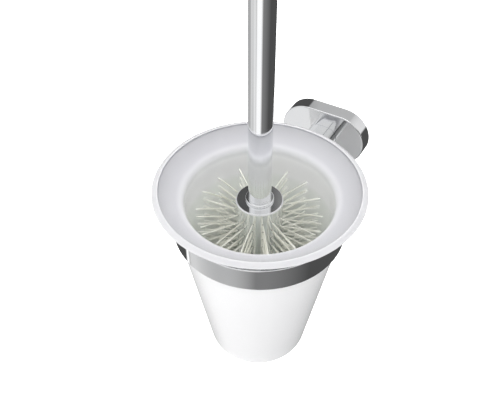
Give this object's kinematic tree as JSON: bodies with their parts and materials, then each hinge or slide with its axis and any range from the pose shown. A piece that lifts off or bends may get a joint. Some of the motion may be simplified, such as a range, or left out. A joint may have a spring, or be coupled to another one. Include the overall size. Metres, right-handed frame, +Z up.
{
  "type": "toilet brush holder",
  "caption": "Wall-mounted toilet brush holder: chromed ring on an arm, flared frosted glass tumbler that lifts out, and a long-handled brush standing in it.",
  "frame": {"origin": "middle of the wall plate's back face, on the wall", "axes": "+Y into the wall, -Y out towards the user, +Z up along the handle, +X to the right seen from the front"},
  "size_m": [0.11, 0.142, 0.3799],
  "materials": {
    "chrome": "polished",
    "chromed_plastic": "chrome plated, polished",
    "steel": "zinc plated",
    "brass": "machined",
    "clear_plastic": "clear, soft",
    "frosted_glass": "frosted, translucent white",
    "bristle": "nylon filaments"
  },
  "bodies": {
    "bracket": {"wall_plate": "steel", "wall_cap": "chrome", "set_screw": "steel", "arm_screw": "steel", "arm": "chrome", "ring": "chrome", "ring_liner": "clear_plastic"},
    "tumbler": {"glass_tumbler": "frosted_glass"},
    "brush": {"handle_tube": "chrome", "handle_end_cap": "chrome", "handle_bush": "brass", "head_stud": "steel", "collar": "chrome", "brush_core": "chromed_plastic", "end_tufts": "bristle", "tuft_column_1": "bristle", "tuft_column_2": "bristle", "tuft_column_3": "bristle", "tuft_column_4": "bristle", "tuft_column_5": "bristle", "tuft_column_6": "bristle", "tuft_column_7": "bristle", "tuft_column_8": "bristle", "tuft_column_9": "bristle", "tuft_column_10": "bristle", "tuft_column_11": "bristle", "tuft_column_12": "bristle", "tuft_column_13": "bristle", "tuft_column_14": "bristle", "tuft_column_15": "bristle"}
  },
  "joints": [
    {"name": "glass_lift", "type": "slide", "parent": "bracket", "child": "tumbler", "axis": [0, 0, 1], "range_m": [0, 0.115]},
    {"name": "brush_lift", "type": "slide", "parent": "tumbler", "child": "brush", "axis": [0, 0, 1], "range_m": [0, 0.125]}
  ]
}
